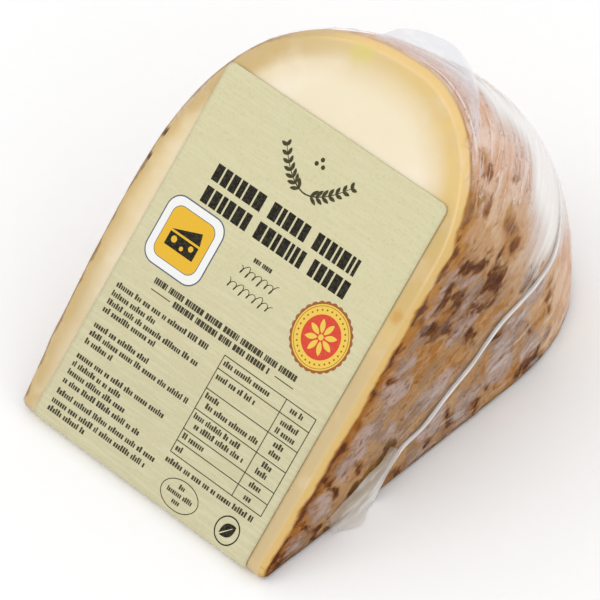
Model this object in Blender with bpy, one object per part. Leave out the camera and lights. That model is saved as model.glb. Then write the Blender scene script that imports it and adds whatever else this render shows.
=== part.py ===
"""One eighth of a pressed cheese wheel, sealed tight in clear film, with a paper label on its upper cut face.

The wedge lies on its other cut face. X runs along the wheel's axis, from one flat rind face to the other,
and Y from the wedge's tip edge out to the rim. Lengths are metres, angles radians.
"""

import math

import bmesh
import bpy
from mathutils import Vector

# Wheel and cut
WHEEL_HEIGHT = 0.0745
WEDGE_ANGLE = math.radians(45)
CROWN_RADIUS = 0.1110
CROWN_X = 0.0100
NEAR_FLAT_RADIUS = 0.0782
FAR_FLAT_RADIUS = 0.0550
FAR_SHOULDER_POWER = 2.45
REST_SIDE_GROWTH = 0.059
MID_RIM_GROWTH = 0.022
NEAR_TIP_TAPER = 0.0009
FAR_TIP_TAPER = 0.0035
TIP_RADIUS = 0.0025

# Film drawn over the cut edges, and the low relief of the rind under it
EDGE_ROUNDING = 0.0016
EDGE_SEGMENTS = 3
RELIEF_HEIGHT = 0.00018
RELIEF_WAVE = 0.0190

# Fold of film that runs across the near flat face
SEAM_RADIUS = 0.0007
SEAM_SINK = 0.0002
SEAM_START_RADIUS = 0.0375
SEAM_END_RADIUS = 0.0930
SEAM_RISE = 0.41
SEAM_RISE_LENGTH = 0.0085
SEAM_POINTS = 26

# Spare film that stands off the rim beside the label, and off the foot of the near flat face
EAR_HEIGHT = 0.0056
EAR_FROM_X = -0.0060
EAR_TO_X = 0.0290
EAR_THICKNESS = 0.0010
EAR_ROOT = 0.0030
EAR_BEHIND_FACE = math.radians(2.2)
EAR_FULLNESS = 0.5
EAR_STATIONS = 17
FOOT_EAR_REACH = 0.0030
FOOT_EAR_START = 0.0230
FOOT_EAR_TIP = 0.0290
FOOT_EAR_SHOULDER = 0.0320
FOOT_EAR_SHOULDER_REACH = 0.0022
FOOT_EAR_END = 0.0390
FOOT_EAR_THICKNESS = 0.0009
FOOT_EAR_LIFT = 0.0001

# Paper label
LABEL_WIDTH = 0.0617
LABEL_CENTRE_X = 0.0010
LABEL_TOP = 0.0900
LABEL_THICKNESS = 0.0004
LABEL_GAP = 0.0003
LABEL_CORNER = 0.0022
LABEL_FOOT_CORNER = 0.0018
LABEL_WRAP_ANGLE = math.radians(82)

# Mesh fineness
TIP_STEPS = 7
RIM_STEPS = 18
NEAR_FLAT_STEPS = 8
NEAR_SHOULDER_STEPS = 10
FAR_SHOULDER_STEPS = 13
FAR_FLAT_STEPS = 6
LABEL_STEPS = 16
LABEL_WRAP_STEPS = 3
LABEL_CORNER_STEPS = 5
LABEL_COLUMNS = 14
SMOOTH_BELOW = math.radians(40)
ROUNDED_ABOVE = math.radians(50)

HALF_HEIGHT = WHEEL_HEIGHT / 2
TIP_TANGENT = TIP_RADIUS / math.tan(WEDGE_ANGLE / 2)
TIP_CENTRE = TIP_RADIUS / math.sin(WEDGE_ANGLE / 2)


def clear_scene():
    for obj in list(bpy.data.objects):
        bpy.data.objects.remove(obj, do_unlink=True)


def make_material(name, colour, roughness):
    material = bpy.data.materials.new(name)
    material.use_nodes = True
    shader = material.node_tree.nodes["Principled BSDF"]
    shader.inputs["Base Color"].default_value = (*colour, 1.0)
    shader.inputs["Roughness"].default_value = roughness
    shader.inputs["Metallic"].default_value = 0.0
    return material


def add_object(name, mesh_data, material=None):
    obj = bpy.data.objects.new(name, mesh_data)
    bpy.context.scene.collection.objects.link(obj)
    if material:
        mesh_data.materials.append(material)
    return obj


def as_helper(obj):
    """A shape that only takes part in a Boolean."""
    obj.hide_render = True
    obj.display_type = "WIRE"
    return obj


def rim_growth(turn):
    """How much further out the rim lies: turn is 0 on the resting face and 1 on the label face."""
    return 1 + REST_SIDE_GROWTH * (1 - turn) + MID_RIM_GROWTH * 4 * turn * (1 - turn)


def wheel_stations():
    """The wheel's section as (x, radius) pairs: up the near flat face, over the crown, down the far one."""
    stations = []
    for step in range(NEAR_FLAT_STEPS):
        radius = TIP_TANGENT + (NEAR_FLAT_RADIUS - TIP_TANGENT) * step / NEAR_FLAT_STEPS
        stations.append((HALF_HEIGHT, radius))
    for step in range(NEAR_SHOULDER_STEPS + 1):
        angle = math.pi / 2 * step / NEAR_SHOULDER_STEPS
        x = CROWN_X + (HALF_HEIGHT - CROWN_X) * math.cos(angle)
        radius = NEAR_FLAT_RADIUS + (CROWN_RADIUS - NEAR_FLAT_RADIUS) * math.sin(angle)
        stations.append((x, radius))
    power = 2 / FAR_SHOULDER_POWER
    for step in range(1, FAR_SHOULDER_STEPS + 1):
        angle = math.pi / 2 * (1 - step / FAR_SHOULDER_STEPS)
        x = CROWN_X - (CROWN_X + HALF_HEIGHT) * max(math.cos(angle), 0) ** power
        radius = FAR_FLAT_RADIUS + (CROWN_RADIUS - FAR_FLAT_RADIUS) * max(math.sin(angle), 0) ** power
        stations.append((x, radius))
    for step in range(1, FAR_FLAT_STEPS + 1):
        radius = FAR_FLAT_RADIUS + (TIP_TANGENT - FAR_FLAT_RADIUS) * step / FAR_FLAT_STEPS
        stations.append((-HALF_HEIGHT, radius))
    return stations


def crown_radius_at(x):
    """The wheel's radius at this x on the label face."""
    if x >= CROWN_X:
        share = (x - CROWN_X) / (HALF_HEIGHT - CROWN_X)
        return NEAR_FLAT_RADIUS + (CROWN_RADIUS - NEAR_FLAT_RADIUS) * math.sqrt(max(1 - share**2, 0))
    share = (CROWN_X - x) / (CROWN_X + HALF_HEIGHT)
    rise = max(1 - share**FAR_SHOULDER_POWER, 0) ** (1 / FAR_SHOULDER_POWER)
    return FAR_FLAT_RADIUS + (CROWN_RADIUS - FAR_FLAT_RADIUS) * rise


def on_wheel(x, radius, turn):
    """The point of the wheel's skin at this station and share of the turn, with the rind's low relief."""
    share = min(radius / CROWN_RADIUS, 1)
    reach = radius * (1 + (rim_growth(turn) - 1) * share)
    taper = NEAR_TIP_TAPER * max(1 - radius / NEAR_FLAT_RADIUS, 0) ** 2
    if x < 0:
        taper = FAR_TIP_TAPER * max(1 - radius / FAR_FLAT_RADIUS, 0) ** 2
    around = turn * WEDGE_ANGLE * CROWN_RADIUS / RELIEF_WAVE
    along = radius / RELIEF_WAVE
    across = x / RELIEF_WAVE
    swing = math.sin(2.3 * along + 1.7 * around) + math.sin(3.9 * along - 2.6 * around + 1.3)
    ripple = math.sin(2.9 * across + 2.1 * around) + math.sin(4.6 * across - 3.3 * around + 0.6)
    on_flat = (abs(x) / HALF_HEIGHT) ** 4
    on_rim = share**6
    x *= 1 + (RELIEF_HEIGHT * swing * share * on_flat - taper) / HALF_HEIGHT
    reach += RELIEF_HEIGHT * ripple * on_rim
    angle = WEDGE_ANGLE * turn
    return Vector((x, reach * math.cos(angle), reach * math.sin(angle)))


def tip_arc(x):
    """The rounded tip at this x, from the label face down to the resting face."""
    centre = Vector((x, TIP_CENTRE * math.cos(WEDGE_ANGLE / 2), TIP_RADIUS))
    arc = []
    for step in range(TIP_STEPS + 1):
        angle = WEDGE_ANGLE + math.pi / 2 + (math.pi - WEDGE_ANGLE) * step / TIP_STEPS
        arc.append(centre + TIP_RADIUS * Vector((0, math.cos(angle), math.sin(angle))))
    return arc


def add_wrapped_wedge():
    """The wedge as the film encloses it: skin swept between the two cuts, the cuts and the rounded tip."""
    mesh = bmesh.new()
    skin = []
    for x, radius in wheel_stations():
        arc = [on_wheel(x, radius, step / RIM_STEPS) for step in range(RIM_STEPS + 1)]
        skin.append([mesh.verts.new(place) for place in arc])
    for first, second in zip(skin, skin[1:]):
        for j in range(RIM_STEPS):
            mesh.faces.new((first[j], first[j + 1], second[j + 1], second[j]))
    tips = []
    for row in (skin[0], skin[-1]):
        arc = tip_arc(row[0].co.x)
        inner = [mesh.verts.new(place) for place in arc[1:-1]]
        tips.append([row[-1], *inner, row[0]])
        mesh.faces.new(row + inner)
    for i in range(TIP_STEPS):
        mesh.faces.new((tips[0][i], tips[0][i + 1], tips[1][i + 1], tips[1][i]))
    mesh.faces.new([row[-1] for row in skin])
    mesh.faces.new([row[0] for row in reversed(skin)])
    bmesh.ops.recalc_face_normals(mesh, faces=mesh.faces)
    data = bpy.data.meshes.new("film_wrapped_wedge")
    mesh.to_mesh(data)
    mesh.free()
    data.shade_smooth()
    data.set_sharp_from_angle(angle=SMOOTH_BELOW)
    material = make_material("film_over_cheese", (0.80, 0.62, 0.36), 0.22)
    wedge = add_object("film_wrapped_wedge", data, material)
    rounding = wedge.modifiers.new("edges drawn round by the film", "BEVEL")
    rounding.width = EDGE_ROUNDING
    rounding.segments = EDGE_SEGMENTS
    rounding.limit_method = "ANGLE"
    rounding.angle_limit = ROUNDED_ABOVE
    return wedge


def fuse(wedge, helper, name):
    """Joins a fold or an edge of the same film to the wedge."""
    joining = wedge.modifiers.new(name, "BOOLEAN")
    joining.operation = "UNION"
    joining.solver = "EXACT"
    joining.object = as_helper(helper)


def add_seam():
    """The fold rises from the foot of the near flat face, then runs straight out over its shoulder."""
    points = []
    for step in range(SEAM_POINTS):
        share = step / (SEAM_POINTS - 1)
        radius = SEAM_START_RADIUS + (SEAM_END_RADIUS - SEAM_START_RADIUS) * share
        rise = SEAM_RISE * (1 - math.exp(-(radius - SEAM_START_RADIUS) / SEAM_RISE_LENGTH))
        x = HALF_HEIGHT
        if radius > NEAR_FLAT_RADIUS:
            climb = (radius - NEAR_FLAT_RADIUS) / (CROWN_RADIUS - NEAR_FLAT_RADIUS)
            x = CROWN_X + (HALF_HEIGHT - CROWN_X) * math.sqrt(1 - climb**2)
        place = on_wheel(x, radius, rise)
        place.z = max(place.z, SEAM_RADIUS + SEAM_SINK)
        points.append(place - Vector((SEAM_SINK, 0, 0)))
    data = bpy.data.curves.new("film_seam", "CURVE")
    data.dimensions = "3D"
    data.bevel_depth = SEAM_RADIUS
    data.bevel_resolution = 1
    data.use_fill_caps = True
    line = data.splines.new("POLY")
    line.points.add(len(points) - 1)
    for target, place in zip(line.points, points):
        target.co = (*place, 1.0)
    curve = add_object("film_seam_curve", data)
    bpy.context.view_layer.update()
    solid = bpy.data.meshes.new_from_object(curve.evaluated_get(bpy.context.evaluated_depsgraph_get()))
    bpy.data.objects.remove(curve, do_unlink=True)
    return add_object("film_seam", solid)


def plate(name, front, back):
    """A thin closed plate between two matching rows-of-points grids."""
    mesh = bmesh.new()
    faces = [[[mesh.verts.new(p) for p in row] for row in grid] for grid in (front, back)]
    rows = len(front)
    columns = len(front[0])
    for grid in faces:
        for i in range(rows - 1):
            for j in range(columns - 1):
                mesh.faces.new((grid[i][j], grid[i][j + 1], grid[i + 1][j + 1], grid[i + 1][j]))
    border = [(0, j) for j in range(columns)]
    border += [(i, columns - 1) for i in range(1, rows)]
    border += [(rows - 1, j) for j in range(columns - 2, -1, -1)]
    border += [(i, 0) for i in range(rows - 2, 0, -1)]
    for (i, j), (k, m) in zip(border, border[1:] + border[:1]):
        mesh.faces.new((faces[0][i][j], faces[0][k][m], faces[1][k][m], faces[1][i][j]))
    bmesh.ops.recalc_face_normals(mesh, faces=mesh.faces)
    data = bpy.data.meshes.new(name)
    mesh.to_mesh(data)
    mesh.free()
    return data


def add_rim_ear():
    """Spare film left flat along the rim, just behind the label face."""
    turn = WEDGE_ANGLE - EAR_BEHIND_FACE
    outward = Vector((0, math.cos(turn), math.sin(turn)))
    normal = Vector((0, -math.sin(turn), math.cos(turn)))
    sides = []
    for side in (0.5, -0.5):
        grid = []
        for step in range(EAR_STATIONS):
            share = step / (EAR_STATIONS - 1)
            x = EAR_FROM_X + (EAR_TO_X - EAR_FROM_X) * share
            root = crown_radius_at(x) * rim_growth(turn / WEDGE_ANGLE)
            height = EAR_HEIGHT * math.sin(math.pi * share) ** EAR_FULLNESS
            row = []
            for reach in (root - EAR_ROOT, root, root + height):
                row.append(Vector((x, 0, 0)) + outward * reach + normal * EAR_THICKNESS * side)
            grid.append(row)
        sides.append(grid)
    return add_object("rim_ear", plate("rim_ear", *sides))


def add_foot_ear():
    """A small web of spare film on the floor, where the fold meets the resting face."""
    outline = (
        (FOOT_EAR_START, 0.0),
        (FOOT_EAR_TIP, FOOT_EAR_REACH),
        (FOOT_EAR_SHOULDER, FOOT_EAR_SHOULDER_REACH),
        (FOOT_EAR_END, 0.0),
    )
    sides = []
    for z in (FOOT_EAR_LIFT, FOOT_EAR_LIFT + FOOT_EAR_THICKNESS):
        grid = []
        for y, reach in outline:
            inner = Vector((HALF_HEIGHT - EAR_ROOT, y, z))
            outer = Vector((HALF_HEIGHT + reach, y, z))
            grid.append([inner, outer])
        sides.append(grid)
    return add_object("foot_ear", plate("foot_ear", *sides))


def corner_distances(radius):
    """How far in from the paper's end the points of a rounded corner lie, from the end inwards."""
    turns = [math.pi / 2 * step / LABEL_CORNER_STEPS for step in range(LABEL_CORNER_STEPS + 1)]
    return [radius * (1 - math.cos(turn)) for turn in turns]


def label_rows():
    """The label's run down the cut face and round the tip, as (distance, place, outward) rows."""
    rows = []
    up_face = Vector((0, math.cos(WEDGE_ANGLE), math.sin(WEDGE_ANGLE)))
    outward = Vector((0, -math.sin(WEDGE_ANGLE), math.cos(WEDGE_ANGLE)))
    flat_run = LABEL_TOP - TIP_TANGENT
    distances = corner_distances(LABEL_CORNER)
    for step in range(1, LABEL_STEPS + 1):
        distances.append(LABEL_CORNER + (flat_run - LABEL_CORNER) * step / LABEL_STEPS)
    for distance in distances:
        rows.append((distance, up_face * (LABEL_TOP - distance), outward))
    centre = Vector((0, TIP_CENTRE * math.cos(WEDGE_ANGLE / 2), TIP_RADIUS))
    wrap = TIP_RADIUS * LABEL_WRAP_ANGLE
    distances = [wrap - inset for inset in reversed(corner_distances(LABEL_FOOT_CORNER))]
    before_corner = distances[0]
    for step in range(1, LABEL_WRAP_STEPS + 1):
        distances.insert(step - 1, before_corner * step / (LABEL_WRAP_STEPS + 1))
    for distance in distances:
        angle = WEDGE_ANGLE + math.pi / 2 + distance / TIP_RADIUS
        outward = Vector((0, math.cos(angle), math.sin(angle)))
        rows.append((flat_run + distance, centre + outward * TIP_RADIUS, outward))
    return rows


def corner_inset(distance, length):
    """How much narrower the label is on each side at this distance from its top edge."""
    from_end, corner = min((distance, LABEL_CORNER), (length - distance, LABEL_FOOT_CORNER))
    if from_end > corner:
        return 0.0
    return corner - math.sqrt(corner**2 - (corner - from_end) ** 2)


def add_label():
    """A printed paper rectangle with rounded corners, stuck on the film and turned down over the tip edge."""
    rows = label_rows()
    length = rows[-1][0]
    sides = []
    for lift in (LABEL_GAP + LABEL_THICKNESS, LABEL_GAP):
        grid = []
        for distance, place, outward in rows:
            half_width = LABEL_WIDTH / 2 - corner_inset(distance, length)
            row = []
            for step in range(LABEL_COLUMNS + 1):
                x = LABEL_CENTRE_X + half_width * (2 * step / LABEL_COLUMNS - 1)
                row.append(Vector((x, 0, 0)) + place + outward * lift)
            grid.append(row)
        sides.append(grid)
    data = plate("paper_label", *sides)
    data.shade_smooth()
    data.set_sharp_from_angle(angle=SMOOTH_BELOW)
    return add_object("paper_label", data, make_material("label_paper", (0.72, 0.67, 0.47), 0.62))


def stand_on_origin(shown, helpers):
    """Moves every mesh so that the finished object stands centred on the origin."""
    bpy.context.view_layer.update()
    depsgraph = bpy.context.evaluated_depsgraph_get()
    corners = []
    for obj in shown:
        evaluated = obj.evaluated_get(depsgraph)
        corners += [evaluated.matrix_world @ v.co for v in evaluated.to_mesh().vertices]
        evaluated.to_mesh_clear()
    low = Vector([min(c[i] for c in corners) for i in range(3)])
    high = Vector([max(c[i] for c in corners) for i in range(3)])
    shift = Vector((-(low.x + high.x) / 2, -(low.y + high.y) / 2, -low.z))
    for obj in shown + helpers:
        for vertex in obj.data.vertices:
            vertex.co += shift


clear_scene()
wedge = add_wrapped_wedge()
seam = add_seam()
rim_ear = add_rim_ear()
foot_ear = add_foot_ear()
fuse(wedge, seam, "film seam")
fuse(wedge, rim_ear, "spare film at the rim")
fuse(wedge, foot_ear, "spare film at the foot")
label = add_label()
stand_on_origin([wedge, label], [seam, rim_ear, foot_ear])
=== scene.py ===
"""One eighth of a pressed cheese wheel, sealed tight in clear film, with a printed label on its upper cut.

The wedge lies on its other cut. X runs along the wheel's axis, Y from the wedge's tip out to the rim, Z up.
Each piece is built round the line where the two cuts would meet at the tip. Lengths are metres.
"""

import math

import bmesh
import bpy
import numpy as np
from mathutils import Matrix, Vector


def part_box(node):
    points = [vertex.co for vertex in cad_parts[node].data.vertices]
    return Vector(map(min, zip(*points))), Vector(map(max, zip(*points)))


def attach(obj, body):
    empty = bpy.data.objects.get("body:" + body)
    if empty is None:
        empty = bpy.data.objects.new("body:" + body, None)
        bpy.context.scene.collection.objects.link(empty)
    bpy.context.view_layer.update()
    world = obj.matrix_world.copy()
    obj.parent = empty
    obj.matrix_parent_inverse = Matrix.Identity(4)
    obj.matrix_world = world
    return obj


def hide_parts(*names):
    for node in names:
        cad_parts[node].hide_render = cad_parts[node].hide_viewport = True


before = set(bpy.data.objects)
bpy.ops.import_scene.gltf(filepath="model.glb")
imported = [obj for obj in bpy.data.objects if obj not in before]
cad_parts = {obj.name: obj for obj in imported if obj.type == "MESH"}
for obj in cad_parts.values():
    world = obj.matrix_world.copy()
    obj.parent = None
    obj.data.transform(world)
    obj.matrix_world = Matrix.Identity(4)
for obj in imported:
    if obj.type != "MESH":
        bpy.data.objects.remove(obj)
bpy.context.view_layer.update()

# The cheese. It was pressed in a knotted cloth, so the flat faces of the wheel run round into the rim, and
# two knife cuts 45 degrees apart took this eighth out of it. The cuts show pale, springy paste, golden by
# the rind. The rind was rubbed with oil and paprika and has a mottled bloom.
CUT_ANGLE = math.radians(45)
HALF_HEIGHT = 0.03725
CROWN_RADIUS = 0.1110
CROWN_X = 0.0100
NEAR_FLAT_RADIUS = 0.0782
FAR_FLAT_RADIUS = 0.0550
FAR_SHOULDER_POWER = 2.45
REST_SIDE_GROWTH = 0.059
MID_RIM_GROWTH = 0.022
NEAR_TIP_TAPER = 0.0009
FAR_TIP_TAPER = 0.0035
TIP_RADIUS = 0.0025
EDGE_RADIUS = 0.0016
FILM_DEPTH = 0.0002
LABEL_TOP = 0.0900
LABEL_CENTRE_X = 0.0010
LABEL_GAP = 0.0003
CUT_CENTRE = (0.0010, 0.0550)
INSIDE = (0, 0.06, 0.02)
LATTICE = 96
QUARTER_POINTS = 400
EDGE_POINTS = 6
STRIP_ROWS = 36
LAST_CAP_ROW = 0.8
WELD_GAP = 0.000012
MM = 1000

TURN_MM = CUT_ANGLE * CROWN_RADIUS * MM
TIP_TANGENT = TIP_RADIUS / math.tan(CUT_ANGLE / 2)
TIP_CENTRE = np.array([TIP_TANGENT, TIP_RADIUS])
LABEL_UP = np.array([0, math.cos(CUT_ANGLE), math.sin(CUT_ANGLE)])
LABEL_OUT = np.array([0, -math.sin(CUT_ANGLE), math.cos(CUT_ANGLE)])
REST_UP = np.array([0, 1.0, 0])
REST_OUT = np.array([0, 0, -1.0])

label_low, label_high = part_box("paper_label")
tip_line = Vector((
    (label_low.x + label_high.x) / 2 - LABEL_CENTRE_X,
    label_high.y - LABEL_TOP * math.cos(CUT_ANGLE) + LABEL_GAP * math.sin(CUT_ANGLE),
    0,
))


def bumps(u, v, seed):
    """Smooth random relief between about -0.7 and 0.7, with a hill or a hollow for each unit of u and v."""
    angles = np.random.default_rng(seed).uniform(0, 2 * np.pi, (LATTICE, LATTICE))
    u, v = np.broadcast_arrays(u, v)
    column, row = np.floor(u).astype(int), np.floor(v).astype(int)
    right, up = u - column, v - row
    ease = [right * right * (3 - 2 * right), up * up * (3 - 2 * up)]
    total = np.zeros(u.shape)
    for i in (0, 1):
        for j in (0, 1):
            angle = angles[(column + i) % LATTICE, (row + j) % LATTICE]
            share = (ease[0] if i else 1 - ease[0]) * (ease[1] if j else 1 - ease[1])
            total += share * (np.cos(angle) * (right - i) + np.sin(angle) * (up - j))
    return total


def swell(value, low, high):
    """Rises softly from 0 at low to 1 at high, or falls where low is the larger."""
    share = np.clip((value - low) / (high - low), 0, 1)
    return share * share * (3 - 2 * share)


def unit(vectors):
    return vectors / np.linalg.norm(vectors, axis=-1, keepdims=True)


def section_line(rows):
    """The wheel's section from the tip over the crown and back in even steps: x, radius, distance along."""
    quarter = np.linspace(0, np.pi / 2, QUARTER_POINTS)
    power = 2 / FAR_SHOULDER_POWER
    near_x = CROWN_X + (HALF_HEIGHT - CROWN_X) * np.cos(quarter)
    near_radius = NEAR_FLAT_RADIUS + (CROWN_RADIUS - NEAR_FLAT_RADIUS) * np.sin(quarter)
    far_x = CROWN_X - (CROWN_X + HALF_HEIGHT) * np.sin(quarter) ** power
    far_radius = FAR_FLAT_RADIUS + (CROWN_RADIUS - FAR_FLAT_RADIUS) * np.abs(np.cos(quarter)) ** power
    x = np.concatenate([[HALF_HEIGHT], near_x, far_x[1:], [-HALF_HEIGHT]])
    radius = np.concatenate([[TIP_TANGENT], near_radius, far_radius[1:], [TIP_TANGENT]])
    along = np.concatenate([[0], np.cumsum(np.hypot(np.diff(x), np.diff(radius)))])
    even = np.linspace(0, along[-1], rows)
    return np.interp(even, along, x), np.interp(even, along, radius), even


def on_wheel(x, radius, turn):
    """The wheel's skin at a turn from 0 on the resting cut to 1 on the labelled cut."""
    growth = REST_SIDE_GROWTH * (1 - turn) + MID_RIM_GROWTH * 4 * turn * (1 - turn)
    reach = radius * (1 + growth * np.minimum(radius / CROWN_RADIUS, 1))
    near_taper = NEAR_TIP_TAPER * np.clip(1 - radius / NEAR_FLAT_RADIUS, 0, 1) ** 2
    far_taper = FAR_TIP_TAPER * np.clip(1 - radius / FAR_FLAT_RADIUS, 0, 1) ** 2
    x = x * (1 - np.where(x < 0, far_taper, near_taper) / HALF_HEIGHT)
    angle = CUT_ANGLE * turn
    return np.stack(np.broadcast_arrays(x, reach * np.cos(angle), reach * np.sin(angle)), -1)


def edge_steps():
    """How deep below a cut the skin's points lie where the skin turns over its rounded edge."""
    return EDGE_RADIUS * (1 - np.cos(np.linspace(0, np.pi / 2, EDGE_POINTS)))


def tip_cap(first_row):
    """Rows of points between the rounded tip's end and the first row of a flat face."""
    angle = 1.5 * np.pi - (np.pi - CUT_ANGLE) * np.linspace(0, 1, len(first_row))
    arc_y = TIP_CENTRE[0] + TIP_RADIUS * np.cos(angle)
    arc_z = TIP_CENTRE[1] + TIP_RADIUS * np.sin(angle)
    arc = np.stack([first_row[:, 0], arc_y, arc_z], -1)
    middle = len(first_row) // 2
    gap = np.linalg.norm(first_row[middle] - arc[middle])
    shares = [*(edge_steps() / gap), LAST_CAP_ROW]
    return [arc + (first_row - arc) * share for share in shares]


def skin_grid(rows, columns):
    """Points of the skin in a grid from tip to tip and from cut to cut, with their place on the wheel."""
    x, radius, along = section_line(rows)
    edge = edge_steps()
    start = edge[-1] / radius[:, None]
    inner = np.linspace(0, 1, columns)[None, 1:-1]
    turn = np.concatenate([
        edge / radius[:, None],
        start + (CUT_ANGLE - 2 * start) * inner,
        CUT_ANGLE - edge[::-1] / radius[:, None],
    ], 1) / CUT_ANGLE
    skin = on_wheel(x[:, None], radius[:, None], turn)
    near_cap = tip_cap(skin[0])
    far_cap = tip_cap(skin[-1])[::-1]
    cap_rows = len(near_cap)
    skin = np.concatenate([near_cap, skin, far_cap])
    row = np.clip(np.arange(rows + 2 * cap_rows) - cap_rows, 0, rows - 1)
    return skin, along[row][:, None], radius[row][:, None], turn[row], cap_rows


def add_mark(shape, name, values):
    """Gives every point of a mesh a value that its finish can read."""
    values = np.ascontiguousarray(values, np.float32)
    shape.attributes.new(name, "FLOAT", "POINT").data.foreach_set("value", values)


def marks_of(form, name):
    values = np.empty(len(form.data.vertices), np.float32)
    form.data.attributes[name].data.foreach_get("value", values)
    return values


def grid_faces(index):
    """Four-sided faces between the neighbours in a grid of point numbers."""
    corners = [index[:-1, :-1], index[1:, :-1], index[1:, 1:], index[:-1, 1:]]
    return np.stack(corners, -1).reshape(-1, 4)


def new_piece(name, points, faces, smooth=True):
    """A piece from its points and faces, set round the tip line."""
    shape = bpy.data.meshes.new(name)
    shape.from_pydata(np.reshape(points, (-1, 3)).tolist(), [], faces)
    if smooth:
        shape.shade_smooth()
    piece = bpy.data.objects.new(name, shape)
    bpy.context.scene.collection.objects.link(piece)
    piece.location = tip_line
    return piece


def marks_off_skin(gap):
    """Marks of points on a cut or on the tip. They have only a distance from the skin's edge."""
    return np.stack([gap * 0, gap * 0, gap * 0, gap + EDGE_RADIUS], -1).reshape(-1, 4)


def weld(shape):
    """Joins points that lie in one place, and turns all faces outward."""
    mesh = bmesh.new()
    mesh.from_mesh(shape)
    bmesh.ops.remove_doubles(mesh, verts=mesh.verts, dist=WELD_GAP)
    bmesh.ops.recalc_face_normals(mesh, faces=mesh.faces)
    mesh.to_mesh(shape)
    mesh.free()


def way_out(skin, cap_rows):
    """The way out of the skin at each point. The caps by the tip belong to the flat faces."""
    out = np.cross(np.gradient(skin, axis=0), np.gradient(skin, axis=1))
    out[: cap_rows + 1] = (1, 0, 0)
    out[-cap_rows - 1:] = (-1, 0, 0)
    out = unit(out)
    return out * np.sign((out * (skin - INSIDE)).sum(-1, keepdims=True))


def under_cuts(skin):
    """How deep each point lies under the nearest cut or the rounded tip, and the way out of that."""
    to_centre = TIP_CENTRE - skin[..., 1:]
    from_centre = np.linalg.norm(to_centre, axis=-1)
    at_tip = (to_centre[..., 0] > 0) & (to_centre @ LABEL_UP[1:] > 0)
    under_tip = np.where(at_tip, TIP_RADIUS - from_centre, np.inf)
    depths = np.stack([-skin @ LABEL_OUT, skin[..., 2], under_tip])
    tip_out = -to_centre / np.maximum(from_centre, 1e-9)[..., None]
    tip_out = np.concatenate([np.zeros((*from_centre.shape, 1)), tip_out], -1)
    cut_out = np.where((depths[0] < depths[1])[..., None], LABEL_OUT, REST_OUT)
    return np.clip(depths.min(0), 0, None), np.where(at_tip[..., None], tip_out, cut_out)


def wedge_form(name, rows, columns, rings, sink, skin_relief, cut_relief):
    """A closed wedge: the wheel's skin, the two cuts and the rounded tip. sink is its depth in the film.

    Its points carry marks in millimetres: along and across, their place on the skin from the tip and from
    the middle between the cuts; around, the turn as measured at the crown; and edge, the distance from the
    line where skin and cut would meet, above 0 on the cut and below 0 on the skin.
    """
    skin, along, radius, turn, cap_rows = skin_grid(rows, columns)
    out = way_out(skin, cap_rows)
    depth, cut_out = under_cuts(skin)
    sideways = unit(out - (out * cut_out).sum(-1, keepdims=True) * cut_out)
    over = np.clip(1 - depth / EDGE_RADIUS, 0, 1)
    bend = np.arccos(over)
    over = over[..., None]
    level = np.sqrt(1 - over**2)
    around = turn * CUT_ANGLE * CROWN_RADIUS
    across = (turn - 0.5) * CUT_ANGLE * radius
    edge = np.where(depth < EDGE_RADIUS, EDGE_RADIUS * (1 - 4 * bend / np.pi), -depth)
    relief = skin_relief(along * MM, around * MM, radius * MM, turn)
    relief = relief * np.clip(depth / EDGE_RADIUS - 0.3, 0, 1)
    facing = unit(sideways * over * level + out * (1 - over) + cut_out * over)
    skin = skin - sideways * EDGE_RADIUS * (1 - level) + facing * (relief - sink)[..., None]

    index = np.arange(skin[..., 0].size).reshape(skin.shape[:2])
    faces = [grid_faces(index)]
    points = [skin.reshape(-1, 3)]
    marks = [np.stack(np.broadcast_arrays(along, across, around, edge), -1).reshape(-1, 4)]
    count = index.size

    share = np.linspace(0, 1, STRIP_ROWS)[1:-1, None, None]
    strip = skin[0] + (skin[-1] - skin[0]) * share
    strip_index = count + np.arange(strip[..., 0].size).reshape(strip.shape[:2])
    ends = np.minimum(skin[0, 0, 0] - strip[..., 0], strip[..., 0] - skin[-1, 0, 0])
    faces.append(grid_faces(np.concatenate([index[:1], strip_index, index[-1:]])))
    points.append(strip.reshape(-1, 3))
    marks.append(marks_off_skin(ends))
    count += strip_index.size

    for column, up, outward in ((-1, LABEL_UP, LABEL_OUT), (0, REST_UP, REST_OUT)):
        ring = np.concatenate([index[cap_rows:-cap_rows, column], strip_index[::-1, column]])
        loop = np.concatenate(points)[ring]
        outline = np.stack([loop[:, 0], loop @ up], -1)
        centre = np.array(CUT_CENTRE)
        for share in rings:
            flat = outline + (centre - outline) * share
            gap = np.linalg.norm(flat[:, None] - outline[None], axis=-1).min(1)
            lift = cut_relief(flat[:, 0] * MM, flat[:, 1] * MM) * np.clip(gap / EDGE_RADIUS, 0, 1)
            points.append(flat[:, :1] * (1, 0, 0) + flat[:, 1:] * up + outward * (lift - sink)[:, None])
            marks.append(marks_off_skin(gap))
            inner = count + np.arange(len(ring))
            faces.append(np.stack([ring, np.roll(ring, -1), np.roll(inner, -1), inner], -1))
            count += len(ring)
            ring = inner

    quads = np.concatenate(faces)
    form = new_piece(name, np.concatenate(points), quads.tolist())
    for column, mark in enumerate(("along", "across", "around", "edge")):
        add_mark(form.data, mark, np.concatenate(marks)[:, column] * MM)
    is_skin = np.arange(len(quads)) < len(faces[0])
    form.data.polygons.foreach_set("material_index", is_skin.astype(np.int32))
    weld(form.data)
    return form


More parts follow.
